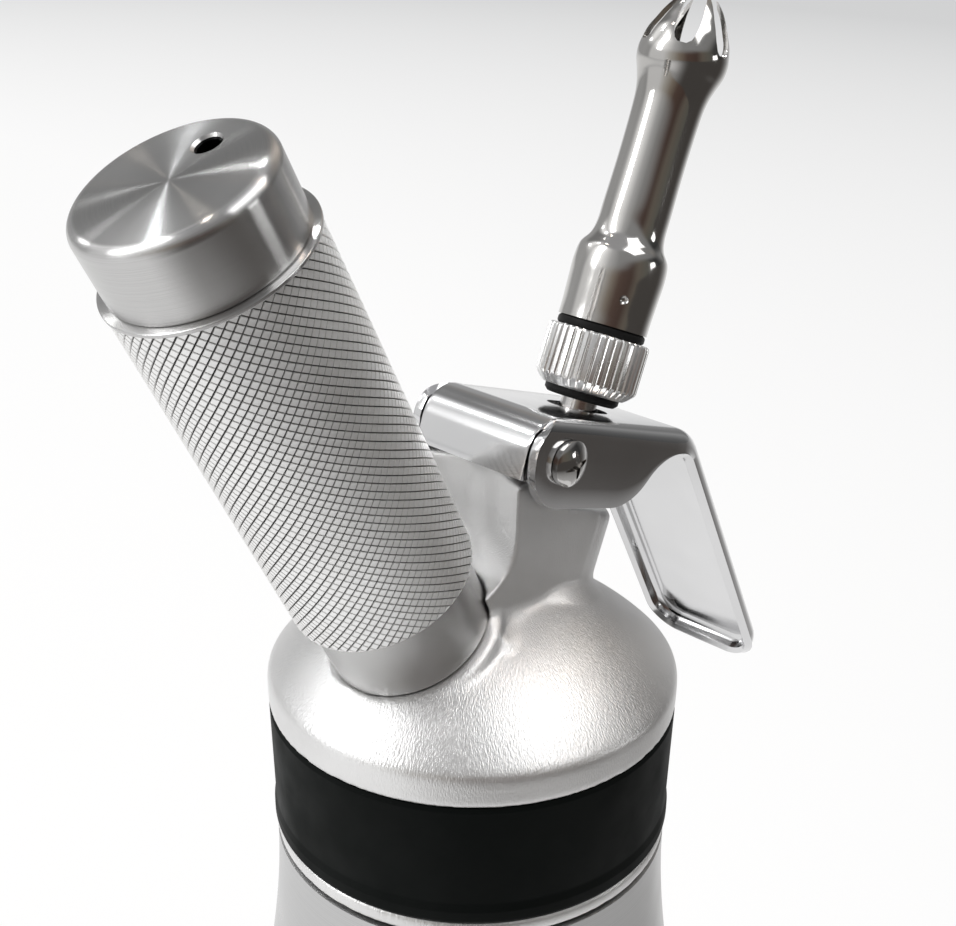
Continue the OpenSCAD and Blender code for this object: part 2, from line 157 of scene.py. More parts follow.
class Nodes(Tree):
    """A material's node tree. Noise goes from about 0.3 to 0.7, so that is the
    span of it that spread and tint use."""

    def __init__(self, name):
        self.material = bpy.data.materials.new(name)
        self.material.use_nodes = True
        super().__init__(self.material.node_tree)
        self.shader = self.tree.nodes["Principled BSDF"]

    def set(self, **inputs):
        """Sets the shader's inputs; an underscore stands for a space in a name."""
        for key, value in inputs.items():
            self.put(value, self.shader.inputs[key.replace("_", " ")])

    def show(self, share, first, second):
        """Shows a mix of two shaders in place of the plain one."""
        blend = self.add("ShaderNodeMixShader", {"Fac": share, 1: first, 2: second})
        self.put(blend.outputs[0], self.tree.nodes["Material Output"].inputs["Surface"])

    def place(self, scale=(1, 1, 1)):
        where = self.add("ShaderNodeTexCoord").outputs["Object"]
        return self.add("ShaderNodeMapping", {"Vector": where, "Scale": scale}).outputs[0]

    def about(self, axis, foot):
        """A point's way from the foot, and a vector round the axis there, which
        is as long as the point is far from the axis."""
        away = self.vector("SUBTRACT", self.place(), foot)
        return away, self.vector("CROSS_PRODUCT", axis, away)

    def noise(self, scale, detail=3, stretch=(1, 1, 1)):
        inputs = {"Vector": self.place(stretch), "Scale": scale, "Detail": detail}
        return self.add("ShaderNodeTexNoise", inputs).outputs["Fac"]

    def spread(self, value, low, high, start=0.3, end=0.7):
        inputs = {"Value": value, "From Min": start, "From Max": end, "To Min": low, "To Max": high}
        return self.add("ShaderNodeMapRange", inputs).outputs[0]

    def wander(self, value, middle, share):
        """A number that strays from the middle by up to that share of it."""
        return self.spread(value, middle * (1 - share), middle * (1 + share))

    def tint(self, value, dark, light, start=0.3, end=0.7):
        ramp = self.add("ShaderNodeValToRGB", {"Fac": value})
        for element, place, colour in zip(ramp.color_ramp.elements, (start, end), (dark, light)):
            element.position, element.color = place, (*colour, 1)
        return ramp.outputs["Color"]

    def bump(self, height, strength, distance, normal=None):
        inputs = {"Height": height, "Strength": strength, "Distance": distance}
        if normal:
            inputs["Normal"] = normal
        return self.add("ShaderNodeBump", inputs).outputs[0]


# --------------------------------------------------------------- materials

def metal(name, dark, light, rough, grain=900, stretch=(1, 1, 1), depth=0.00002, strength=0.15,
          cloud=60):
    """A metal whose tone and roughness wander, with fine grain in its surface."""
    nodes = Nodes(name)
    broad = nodes.noise(cloud)
    fine = nodes.noise(grain, 2, stretch)
    nodes.set(Metallic=1.0, Base_Color=nodes.tint(broad, dark, light),
              Roughness=nodes.wander(broad, rough, 0.25),
              Normal=nodes.bump(fine, strength, depth))
    return nodes.material


def turned(name, tone, rough, place=HOLDER, rings=9000, strength=0.12, aniso=0.8, hole=None):
    """Lathe-turned metal: fine rings round the place's Z axis, which spread its
    gloss across them, so the tangent is turned by a quarter. A hole's wall,
    given by its axis and radius, gets painted shade: its base colour is near black."""
    nodes = Nodes(name)
    axis = axis_of(place)
    away, around = nodes.about(axis, place.translation)
    radius = nodes.vector("LENGTH", around)
    height = nodes.vector("DOT_PRODUCT", axis, away)
    along = nodes.math("SUBTRACT", radius, height)
    line = nodes.add("ShaderNodeTexNoise", {"W": along, "Scale": rings, "Detail": 2},
                     noise_dimensions="1D").outputs["Fac"]
    colour = nodes.tint(line, [0.88 * c for c in tone], tone)
    # Painted shade: the hole's wall gets a near-black base colour, for the shade inside it
    if hole:
        centre, wall = hole
        spoke = nodes.about(axis, centre)[1]
        inside = nodes.math("LESS_THAN", nodes.vector("LENGTH", spoke), wall)
        inputs = {"Fac": inside, "Color1": colour, "Color2": (0.01, 0.01, 0.01, 1)}
        colour = nodes.add("ShaderNodeMixRGB", inputs).outputs[0]
    nodes.set(Metallic=1.0, Base_Color=colour,
              Roughness=nodes.wander(nodes.noise(70, 2), rough, 0.15),
              Normal=nodes.bump(line, strength, 0.00001),
              Anisotropic=aniso, Anisotropic_Rotation=0.25, Tangent=around)
    return nodes.material


def knurled(name):
    """The grip's diamonds are bright, and the grooves between them dull and dark with painted
    shade: the base colour darkens with depth.
    """
    nodes = Nodes(name)
    spoke = nodes.about(axis_of(HOLDER), HOLDER.translation)[1]
    groove, crest = (KNURL_RADIUS - 0.28) * MM, (KNURL_RADIUS - 0.1) * MM
    # Painted shade: below the crests the base colour turns dark, for the shade that falls in the
    # grooves
    high = nodes.spread(nodes.vector("LENGTH", spoke), 0, 1, groove, crest)
    nodes.set(Metallic=0.9,
              Base_Color=nodes.tint(high, (0.20, 0.195, 0.19), (0.92, 0.92, 0.915), 0, 1),
              Roughness=nodes.spread(nodes.noise(60), 0.34, 0.46),
              Normal=nodes.bump(nodes.noise(1600, 2), 0.25, 0.00002))
    return nodes.material


def rubber(name, dark, light, rough):
    """Dull rubber with a fine grain and hardly any gloss."""
    nodes = Nodes(name)
    nodes.set(Base_Color=nodes.tint(nodes.noise(40, 4), dark, light), Specular_IOR_Level=0.07,
              Roughness=nodes.wander(nodes.noise(120), rough, 0.15),
              Normal=nodes.bump(nodes.noise(1400), 0.25, 0.00003))
    return nodes.material


def cast(name):
    """Blasted aluminium: a sparkle of tiny dents over a gloss that the finishing
    strokes round the upright axis spread up and down."""
    nodes = Nodes(name)
    where = nodes.add("ShaderNodeSeparateXYZ", {0: nodes.place()}).outputs
    flat = nodes.add("ShaderNodeCombineXYZ", {"X": where["X"], "Y": where["Y"]}).outputs[0]
    angle = nodes.math("ARCTAN2", where["Y"], where["X"])
    # At 30 mm from the axis, a dent is about 0.2 mm wide round the circle, and
    # three times as long across it
    rim, stretch = 0.03, 0.33
    strokes = nodes.add("ShaderNodeCombineXYZ", {
        "X": nodes.math("MULTIPLY", angle, rim),
        "Y": nodes.math("MULTIPLY", nodes.vector("LENGTH", flat), stretch),
        "Z": nodes.math("MULTIPLY", where["Z"], stretch)}).outputs[0]
    fine = nodes.add("ShaderNodeTexNoise", {"Vector": strokes, "Scale": 4600, "Detail": 3})
    dents = nodes.bump(fine.outputs["Fac"], 0.8, 0.0001)
    broad = nodes.noise(45, 4)
    around = nodes.add("ShaderNodeTangent", direction_type="RADIAL", axis="Z").outputs[0]
    nodes.set(Metallic=0.9,
              Base_Color=nodes.tint(broad, (0.70, 0.698, 0.695), (0.83, 0.828, 0.825)),
              Roughness=nodes.spread(broad, 0.31, 0.39),
              Normal=nodes.bump(nodes.noise(260), 0.12, 0.00008, dents),
              Anisotropic=0.75, Anisotropic_Rotation=0.25, Tangent=around)
    return nodes.material


def materials():
    """A material for every slot in the record, by the slot's name."""
    recipes = {
        # Painted shade: the bottle's tone is set darker than bare aluminium, for the band's shade
        # on its shoulder
        "bottle_aluminium": lambda name: turned(
            name, (0.56, 0.56, 0.56), 0.32, Matrix(), rings=5000, aniso=0.5),
        "cast_aluminium": cast,
        "white_silicone": lambda name: rubber(name, (0.78, 0.78, 0.77), (0.86, 0.86, 0.85), 0.5),
        "black_silicone": lambda name: rubber(
            name, (0.002, 0.003, 0.0027), (0.004, 0.0055, 0.005), 0.55),
        "turned_steel": lambda name: turned(name, (0.62, 0.61, 0.60), 0.22, NOZZLE),
        "grey_rubber": lambda name: rubber(name, (0.16, 0.16, 0.17), (0.22, 0.22, 0.23), 0.6),
        "brass": lambda name: turned(name, (0.78, 0.62, 0.30), 0.2),
        "black_rubber": lambda name: rubber(
            name, (0.012, 0.012, 0.012), (0.02, 0.02, 0.02), 0.45),
        "polished_steel": lambda name: metal(
            name, (0.50, 0.49, 0.48), (0.60, 0.59, 0.58), 0.11, grain=300, strength=0.05,
            cloud=40),
        # The cap's vent hole gets painted shade on its wall
        "turned_aluminium": lambda name: turned(
            name, (0.58, 0.577, 0.573), 0.22, strength=0.25, aniso=1.0,
            hole=(VENT.translation, (VENT_RADIUS + 0.2) * MM)),
        "knurled_aluminium": knurled,
        "polished_lever": lambda name: metal(
            name, (0.63, 0.63, 0.635), (0.71, 0.71, 0.715), 0.13, grain=2600,
            stretch=(1, 0.06, 1), depth=0.00001, strength=0.3, cloud=35),
        "spring_steel": lambda name: metal(name, (0.48, 0.48, 0.49), (0.58, 0.58, 0.59), 0.25),
        "knurled_nut": lambda name: metal(
            name, (0.84, 0.84, 0.835), (0.92, 0.92, 0.915), 0.28, grain=1400, strength=0.2),
        "polished_tip": lambda name: metal(
            name, (0.50, 0.49, 0.475), (0.58, 0.57, 0.555), 0.12, grain=240, strength=0.03,
            cloud=35),
    }
    return {name: recipe(name) for name, recipe in recipes.items()}


# ------------------------------------------------------------ mesh helpers

def shape(name, verts, faces, place, sharp=30, smooth=True):
    """A mesh object from points in millimetres, in the frame that place gives."""
    mesh = bpy.data.meshes.new(name)
    mesh.from_pydata([place @ (Vector(v) * MM) for v in verts], [], faces)
    mesh.validate()
    obj = bpy.data.objects.new(name, mesh)
    scene.collection.objects.link(obj)
    finish_mesh(mesh, sharp, smooth)
    return obj


def finish_mesh(mesh, sharp, smooth=True):
    """Joins equal points, turns the faces outward and shades smooth up to the sharp angle."""
    bm = bmesh.new()
    bm.from_mesh(mesh)
    bmesh.ops.remove_doubles(bm, verts=bm.verts, dist=1e-6)
    bmesh.ops.recalc_face_normals(bm, faces=bm.faces)
    bm.to_mesh(mesh)
    bm.free()
    if smooth:
        mesh.shade_smooth()
        mesh.set_sharp_from_angle(angle=radians(sharp))
    else:
        mesh.shade_flat()


def arc(centre, radius, first, last, steps):
    """Points along a circle, from the first angle to the last."""
    angles = [radians(first + (last - first) * i / steps) for i in range(steps + 1)]
    return [(centre[0] + radius * cos(a), centre[1] + radius * sin(a)) for a in angles]


def rounded(points, steps=6):
    """A closed profile with rounded corners: points are (r, z) or (r, z, radius)."""
    out, count = [], len(points)
    for i, point in enumerate(points):
        here = Vector(point[:2])
        if len(point) < 3:
            out.append(tuple(here))
            continue
        before = Vector(points[i - 1][:2]) - here
        after = Vector(points[(i + 1) % count][:2]) - here
        half = before.angle(after) / 2
        # A round takes up less than half of a side, so that two never meet
        reach = min(point[2] / tan(half), before.length * 0.49, after.length * 0.49)
        a, b = here + before.normalized() * reach, here + after.normalized() * reach
        for k in range(steps + 1):
            # With this weight on the corner, the blend is a circle's arc
            t = k / steps
            weight = 2 * t * (1 - t) * sin(half)
            p = (a * (1 - t) ** 2 + b * t ** 2 + here * weight) / ((1 - t) ** 2 + t ** 2 + weight)
            out.append(tuple(p))
    return out


def curve_through(points, steps):
    """A smooth line through points, by Catmull-Rom."""
    p = [np.array(q, float) for q in points]
    p = [2 * p[0] - p[1]] + p + [2 * p[-1] - p[-2]]
    out = []
    for i in range(1, len(p) - 2):
        for k in range(steps):
            t = k / steps
            out.append(tuple(0.5 * ((2 * p[i]) + (p[i + 1] - p[i - 1]) * t
                       + (2 * p[i - 1] - 5 * p[i] + 4 * p[i + 1] - p[i + 2]) * t * t
                       + (3 * p[i] - p[i - 1] - 3 * p[i + 1] + p[i + 2]) * t ** 3)))
    return out + [tuple(p[-2])]


def loft(rings, closed):
    """Faces between rings of equal numbers of points, which are numbered ring by
    ring. Closed means that the last ring joins the first."""
    faces = []
    count = len(rings[0])
    for i in range(len(rings) if closed else len(rings) - 1):
        first, second = i * count, (i + 1) % len(rings) * count
        for k in range(count):
            m = (k + 1) % count
            faces.append((first + k, first + m, second + m, second + k))
    return faces


def lathe(name, profile, place, segments=160, sharp=32):
    """A closed profile turned about the place's Z axis."""
    angles = [2 * pi * i / segments for i in range(segments)]
    rings = [[(r * cos(a), r * sin(a), z) for r, z in profile] for a in angles]
    return shape(name, sum(rings, []), loft(rings, closed=True), place, sharp)


def prism(name, outline, length, place):
    """An (x, y) outline extruded to both sides of the place's XY plane."""
    rings = [[(x, y, side * length / 2) for x, y in outline] for side in (-1, 1)]
    n = len(outline)
    ends = [tuple(range(n))[::-1], tuple(range(n, 2 * n))]
    return shape(name, sum(rings, []), ends + loft(rings, closed=False), place)


def settle(obj):
    """Applies the modifiers and gives the object a plain mesh again."""
    graph = bpy.context.evaluated_depsgraph_get()
    mesh = bpy.data.meshes.new_from_object(obj.evaluated_get(graph))
    obj.modifiers.clear()
    obj.data = mesh


def cut(obj, cutter):
    """Takes the cutter's shape off the object and throws the cutter away."""
    tool = obj.modifiers.new("cut", "BOOLEAN")
    tool.object, tool.operation, tool.solver = cutter, "DIFFERENCE", "EXACT"
    settle(obj)
    bpy.data.objects.remove(cutter)


def dress(obj, slot):
    """Leaves an object with its slot's material alone."""
    obj.data.materials.clear()
    obj.data.materials.append(finishes[slot])


def keep(obj, slot, body, *nodes):
    """Gives a piece its finish and its body, and the CAD nodes that it stands for."""
    dress(obj, slot)
    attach(obj, body)
    if nodes:
        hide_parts(*nodes)


# ------------------------------------------------------- bottle and casting

def bottle():
    """A plain shell with a long shoulder, and a thread round its neck."""
    radius, wall, foot = 40, 2, 6
    start, rise, draw = 79.7, 72, 7.5  # the shoulder's foot, its height and how far it draws in
    neck, mouth, ledge, top = 28.5, 26, start + rise, 170
    chamfer, lip = 0.8, 0.4
    low, high, pitch, crest = 154.5, 167.5, 3.0, 0.28  # the thread
    margin, fine = 0.5, 0.25  # rows of points past its ends, and their spacing
    rows = int((high - low + 2 * margin) / fine) + 1

    def shoulder(inset, steps=40):
        return [(radius - inset - draw * (1 - cos(pi * t)) / 2, start + (rise - inset) * t)
                for t in (i / steps for i in range(steps + 1))]

    outside = (arc((radius - foot, foot), foot, -90, 0, 14) + shoulder(0)
               + [(neck + chamfer, ledge), (neck, ledge + chamfer)]
               + [(neck, low - margin + fine * i) for i in range(rows)]
               + [(neck, top - chamfer), (neck - chamfer, top)])
    inside = ([(mouth + lip, top), (mouth, top - lip), (mouth, ledge - wall)]
              + shoulder(wall)[::-1] + arc((radius - foot, foot), foot - wall, 0, -90, 10))
    shell = lathe("bottle_shell", [(AXIS, 0)] + outside + inside + [(AXIS, wall)], Matrix(), 192)
    for vertex in shell.data.vertices:
        x, y, z = vertex.co / MM
        if low < z < high and abs(sqrt(x * x + y * y) - neck) < 0.05:
            wave = (z / pitch - atan2(y, x) / (2 * pi)) % 1
            # The ridge has a flat crest and sloping sides, and fills half of the pitch
            ridge = crest * min(1, max(0, 1.6 - 6.4 * abs(wave - 0.5)))
            vertex.co.x *= 1 + ridge / neck
            vertex.co.y *= 1 + ridge / neck
    keep(shell, "bottle_aluminium", "bottle", "bottle")


def head():
    """The casting, with its corners and hollows blended as a foundry leaves them."""
    obj = bpy.data.objects.new("head_shell", frame["nodes"]["head_casting"].data.copy())
    scene.collection.objects.link(obj)
    grid = obj.modifiers.new("grid", "REMESH")
    grid.mode, grid.voxel_size = "VOXEL", 0.45 * MM
    soft = obj.modifiers.new("soft", "SMOOTH")
    soft.factor, soft.iterations = 0.5, 14
    settle(obj)
    obj.data.shade_smooth()
    keep(obj, "cast_aluminium", "head", "head_casting")


def band():
    """The silicone grip band: a rounded lip at its foot and a slight waist above it."""
    seat, waist, lip, low = 31.2, 32.6, 32.85, -21
    profile = rounded([(seat, low), (32.45, low, 0.4), (lip, -20.3, 0.5), (lip, -18.6, 0.9),
                       (waist, -17.2, 2.5), (32.95, -0.6, 0.5), (waist, 0), (seat, 0)])
    keep(lathe("grip_band_skin", profile, RIM, 192), "black_silicone", "head", "grip_band")


# ---------------------------------------------------------- charger holder

def holder():
    """The holder's tube with its smooth collar, and the end cap with its vent hole."""
    bore, collar = 9.2, 12.66
    tube = rounded([(9.65, 18.6), (12.4, 18.6), (collar, 18.95, 0.3), (collar, 30.7),
                    (TUBE_RADIUS, 30.7), (TUBE_RADIUS, 97), (bore, 97), (bore, 35), (9.65, 34.5)])
    keep(lathe("holder_tube", tube, HOLDER), "turned_aluminium", "charger_holder", "holder_body")
    seat, edge, low, high = TUBE_RADIUS + 0.02, 13.37, SLEEVE_HIGH + 0.05, 101.6
    profile = rounded([(AXIS, 97.02), (seat, 97.02), (seat, low), (13.2, low, 0.1),
                       (edge, low + 0.25, 0.1), (edge, high, 1.7), (AXIS, high)], 10)
    cap = lathe("end_cap", profile, HOLDER, 192)
    countersink = 0.55
    drill = [(AXIS, 95), (VENT_RADIUS, 95), (VENT_RADIUS, high - countersink),
             (VENT_RADIUS + countersink, high), (VENT_RADIUS + countersink, 103), (AXIS, 103)]
    cut(cap, lathe("drill", drill, VENT, 48))
    finish_mesh(cap.data, 32)
    keep(cap, "turned_aluminium", "charger_holder", "holder_cap")


def diamonds(low, high):
    """Points and faces of a knurl: diamonds between two sets of crossing grooves,
    each with a small flat on top. Places a and b count half diamonds round the
    axis and up it, and the lowest row leans in to a chamfer."""
    count, depth, flat, chamfer = 57, 0.35, 0.76, 13.3
    step = 2 * pi / count
    rise = step * KNURL_RADIUS / 2
    rows = int((high - low) / rise) + 3
    ways = ((-1, 0), (0, -1), (1, 0), (0, 1))
    verts, faces, corners = [], [], {}

    def point(a, b, r):
        angle, height = a * step / 2, b * rise
        r = min(r, chamfer + height)
        verts.append((r * cos(angle), r * sin(angle), low + height))
        return len(verts) - 1

    def corner(a, b):
        """A crossing of two grooves, which four diamonds share."""
        key = (a % (2 * count), b)
        if key not in corners:
            corners[key] = point(*key, KNURL_RADIUS - depth)
        return corners[key]

    for b in range(-1, rows):
        for a in range(b % 2, 2 * count, 2):
            ring = [corner(a + u, b + v) for u, v in ways]
            peak = [point(a + u * flat, b + v * flat, KNURL_RADIUS) for u, v in ways]
            faces.append(tuple(peak))
            faces += [(ring[k - 1], ring[k], peak[k], peak[k - 1]) for k in range(4)]
    return verts, faces


def sleeve():
    """The grip: a knurl, cut off level at both ends, on a core with a thin collar."""
    low, high = 30.7, 90.4
    knurl = shape("grip_knurl", *diamonds(low, high), HOLDER, smooth=False)
    bm = bmesh.new()
    bm.from_mesh(knurl.data)
    for z, way in ((low, -1), (high, 1)):
        bmesh.ops.bisect_plane(bm, geom=bm.verts[:] + bm.edges[:] + bm.faces[:], dist=1e-7,
                               plane_co=HOLDER @ Vector((0, 0, z * MM)),
                               plane_no=axis_of(HOLDER) * way, clear_outer=True)
    bm.to_mesh(knurl.data)
    bm.free()
    keep(knurl, "knurled_aluminium", "charger_holder", "grip_sleeve")
    seat, root, collar = TUBE_RADIUS + 0.03, 13.7, 14.48
    core = rounded([(seat, SLEEVE_LOW), (13.2, SLEEVE_LOW), (root, 31.4), (root, 90.2),
                    (14.3, 90.3, 0.1), (collar, 90.5, 0.1), (collar, 90.9, 0.1),
                    (14.2, SLEEVE_HIGH), (seat, SLEEVE_HIGH)])
    keep(lathe("grip_core", core, HOLDER), "turned_aluminium", "charger_holder", "grip_sleeve")


# -------------------------------------------------------------------- lever

class Pressing:
    """The outer skin of the lever's pressed sheet, as points and faces.

    Its plan is laid out flat: s runs along the sheet from the hinge to the
    handle's end, y across it, and h stands over its outer face. Each row of
    points crosses the sheet from one lower edge to the other.
    """

    sheet, top = 1.5, 6.2  # thickness, and height of the web over the hinge's axis
    web, handle = 35.6, 61.9  # lengths up to the bend's corner and on from it
    bend, turn = 9.0, radians(42.4)  # radius and angle of the bend
    half, shoulder = 12.8, 2.6  # half width and rounded edge over the ears
    plate, soft = 12.4, 3.3  # the same at the handle
    flange, splay = 3.7, 0.4  # depth of the handle's rim, and how far it leans out
    early, late = 3, 1  # how far ahead of the bend and past it one becomes the other
    corner = 7.2  # the handle's rounded corners in plan
    nose, slit = -7.45, -0.5  # where the ears end, and where the slits beside the web end
    ear, sweep, swing = 7.3, 10.9, radians(56)  # the ears' round, and the S behind it
    roll, roll_radius, roll_half = (-1.7, 0.4), 5.8, 10.85  # the web's rolled front
    roll_start, roll_low = -1.1, -3.6
    angles = [radians(a) for a in (0, 16.8, 32, 47, 61, 75, 90)]  # steps round an edge
    drops = (0.35, 0.7, 1)  # steps down from that edge to the lower one
    run = bend * tan(turn / 2)
    start = web - run
    bent = start + bend * turn
    end = bent + handle - run

    def __init__(self):
        self.verts, self.faces = [], []
        self.middle = len(self.angles) + len(self.drops)  # half the points of a row
        rows = [self.across(*row) for row in self.rows()]
        self.verts += rows[0]
        self.join(rows[1:], list(range(2 * self.middle)))
        for side in (-1, 1):
            self.add_nose(side)
        self.add_roll()

    def join(self, rows, before):
        """Adds rows of points behind the vertices whose numbers are given."""
        for row in rows:
            now = list(range(len(self.verts), len(self.verts) + len(row)))
            self.verts += row
            self.faces += [(before[k], now[k], now[k + 1], before[k + 1])
                           for k in range(len(row) - 1)]
            before = now

    def on_spine(self, s, y, h):
        """Where a point of the flat plan comes to lie once the sheet is bent."""
        if s <= self.start:
            return (s, y, self.top + h)
        centre, radius = self.top - self.bend, self.bend + h
        t = min(self.turn, (s - self.start) / self.bend)
        past = max(0, s - self.bent)
        return (self.start + radius * sin(t) + past * cos(t), y,
                centre + radius * cos(t) - past * sin(t))

    def low(self, u):
        """Lower edge of the ears: round about the hinge, then rising in an S."""
        rim = self.top - self.flange
        deepest = rim - 2 * self.sweep * (1 - cos(self.swing))
        rise = self.start - 2 * self.sweep * sin(self.swing)
        if u < 0:
            return -sqrt(max(0, self.ear ** 2 - u ** 2))
        if u < rise:
            return -self.ear + (deepest + self.ear) * u / rise
        if u < (rise + self.start) / 2:
            return deepest + self.sweep - sqrt(self.sweep ** 2 - (u - rise) ** 2)
        if u < self.start:
            return rim - self.sweep + sqrt(self.sweep ** 2 - (self.start - u) ** 2)
        return rim

    def rows(self):
        """Each row's plan place, half width, outward heading, edge radius, depth and lean."""
        def blend(a, b, t):
            t = min(1, max(0, t))
            return a + (b - a) * t * t * (3 - 2 * t)

        rows = []
        bending = np.linspace(self.start, self.bent, 11)
        for s in [*np.arange(self.slit, self.start, 0.5), *bending]:
            t = (s - self.start + self.early) / (self.bent - self.start + self.early + self.late)
            rows.append((s, blend(self.half, self.plate, t), -90,
                         blend(self.shoulder, self.soft, s / self.start),
                         self.top - self.low(s), blend(0, self.splay, t)))
        edge = (self.soft, self.flange, self.splay)
        ahead, aside = self.end - self.corner, self.plate - self.corner
        for s in np.linspace(self.bent + 1, ahead - 0.5, 12):
            rows.append((s, self.plate, -90, *edge))
        for heading in range(-90, 0, 9):
            x, y = self.corner * cos(radians(heading)), self.corner * sin(radians(heading))
            rows.append((ahead + x, aside - y, heading, *edge))
        return rows + [(self.end, 0, 0, *edge)]

    def across(self, s, wide, heading, radius, depth, lean):
        """A row: round the edge from the web's flat, and down to the lower edge."""
        side = [(radius * sin(a) - radius, radius * cos(a) - radius) for a in self.angles]
        side += [(lean * f, -radius - (depth - radius) * f) for f in self.drops]
        ahead, aside = cos(radians(heading)), sin(radians(heading))
        left = [self.on_spine(s + ahead * out, -wide + aside * out, h) for out, h in side]
        return left[::-1] + [(x, -y, z) for x, y, z in left]

    def add_nose(self, side, steps=14):
        """Ahead of its slit an ear runs on alone, under the roll's round, to a nose."""
        shelf = self.top - self.shoulder
        noses = []
        for i in range(1, steps + 1):
            u = self.nose + (self.slit - self.nose) * (1 - sin(pi / 2 * i / steps))
            high = self.roll[1] + sqrt(self.roll_radius ** 2 - min(0, u - self.roll[0]) ** 2)
            least = acos(min(1, (high - shelf) / self.shoulder)) if high > shelf else pi / 2
            column = []
            for angle in self.angles[1:]:
                a = max(angle, least)
                column.append((u, side * (self.half - self.shoulder + self.shoulder * sin(a)),
                               min(high, shelf + self.shoulder * cos(a))))
            flat = column[-1][2]
            column += [(u, side * self.half, flat + (self.low(u) - flat) * f) for f in self.drops]
            noses.append(column)
        inner = self.middle if side > 0 else self.middle - 1
        self.join(noses, [inner + side * k for k in range(1, self.middle)])

    def add_roll(self):
        """Between the slits the web rolls down over the tower."""
        front = self.roll[0] - self.roll_radius
        path = ([(self.roll_start, self.top)] + arc(self.roll, self.roll_radius, 90, 180, 15)
                + [(front, -1.5), (front, self.roll_low)])
        flat = self.half - self.shoulder
        across = (-self.roll_half, -flat, flat, self.roll_half)
        self.join([[(u, y, w) for y in across] for u, w in path],
                  [self.middle + k for k in (-2, -1, 0, 1)])


def lever():
    """One pressed sheet: web, deep ears, bend and dished handle, and the rolled front edge."""
    pressing = Pressing()
    skin = shape("lever_pressed", pressing.verts, pressing.faces, LEVER, 60)
    wall = skin.modifiers.new("sheet", "SOLIDIFY")
    wall.thickness, wall.offset, wall.use_even_offset = pressing.sheet * MM, -1, True
    edge = skin.modifiers.new("edge", "BEVEL")
    edge.width, edge.segments, edge.limit_method = 0.28 * MM, 3, "ANGLE"
    edge.angle_limit = radians(50)
    settle(skin)
    # The slot is long, because the nozzle leans in it as the lever is pressed
    near, far, radius = (15.2, 0), (18.4, 0), 4.1
    slot = arc(near, radius, 90, 270, 24) + arc(far, radius, -90, 90, 24)
    cut(skin, prism("slot", slot, 5, LEVER @ move(0, 0, pressing.top - 0.2)))
    hole, reach = 2.06, 20
    drill = [(AXIS, -reach), (hole, -reach), (hole, reach), (AXIS, reach)]
    cut(skin, lathe("drill", drill, LEVER @ rotate(90, "X"), 48))
    finish_mesh(skin.data, 35)
    keep(skin, "polished_lever", "lever", "lever")


def screw():
    """The hinge screw's domed head, with a cross for the driver."""
    shank, under, edge, rim = 1.22, 12.9, 3.6, 14
    dome = arc((0, 9.1), 5.95, 57, 90, 10)[1:-1]
    profile = [(AXIS, 5), (shank, 5), (shank, under), (3.55, under), (edge, 13.0), (edge, 13.85),
               (3.45, rim)] + dome + [(AXIS, 15.05)]
    obj = lathe("hinge_screw_head", profile, HINGE_PIN, 64)
    side = [(-2.3, 0.2), (-0.9, 0.42), (0.9, 0.42), (2.3, 0.2)]
    bar = [(x, -y) for x, y in side] + side[::-1]
    for angle in (6, 96):
        cut(obj, prism("bit", bar, 2.4, HINGE_PIN @ move(0, 0, 15.1) @ rotate(angle, "Z")))
    finish_mesh(obj.data, 32)
    keep(obj, "polished_steel", "head", "hinge_screw")


# ------------------------------------------------------------------- nozzle

def tip():
    """The tulip tip: a turned skin with six petals between its three cross slots."""
    wall, bore, hollow_low = 0.85, 5.98, 66
    outer = curve_through([(7.45, TIP_LOW), (7.45, 62), (7.6, 66), (7.68, 69), (7.35, 71.6),
                           (6.15, 73.5), (5.68, 75.6), (5.62, 79), (5.5, 85), (5.5, 90),
                           (5.62, 95.5), (5.9, 98), (6.45, 100), (7.15, 102), (7.35, 103.6),
                           (7.2, 105), (6.7, 107), (5.95, 108.6), (5.1, 110.4), (4.1, 112),
                           (2.9, 113.4)], 6)
    inner = [(max(0.4, r - wall), z) for r, z in outer if z > hollow_low]
    profile = outer + [(2.3, 113.7)] + inner[::-1] + [(bore, 65.5), (bore, TIP_LOW)]
    obj = lathe("tulip_tip", profile, NOZZLE, 216, 40)
    side = [(0.7, 104.6), (1.4, 105.2), (1.75, 106.2), (1.88, 107.6), (1.88, 109.2), (1.75, 111),
            (1.1, 114.5)]
    slot = side + [(-x, y) for x, y in side[::-1]]
    # The outline's x runs across the slot and its y up the nozzle
    upright = Matrix(((0, 0, 1, 0), (1, 0, 0, 0), (0, 1, 0, 0), (0, 0, 0, 1)))
    for angle in (29, 89, 149):
        cut(obj, prism("slot", slot, 30, NOZZLE @ rotate(angle, "Z") @ upright))
    ball = [(max(AXIS, x), y) for x, y in arc((0, 0), 0.9, -90, 90, 16)]
    cut(obj, lathe("dimple", ball, NOZZLE @ rotate(-128, "Z") @ move(8, 0, 64.2), 32))
    finish_mesh(obj.data, 35)
    keep(obj, "polished_tip", "tip", "decorator_tip")


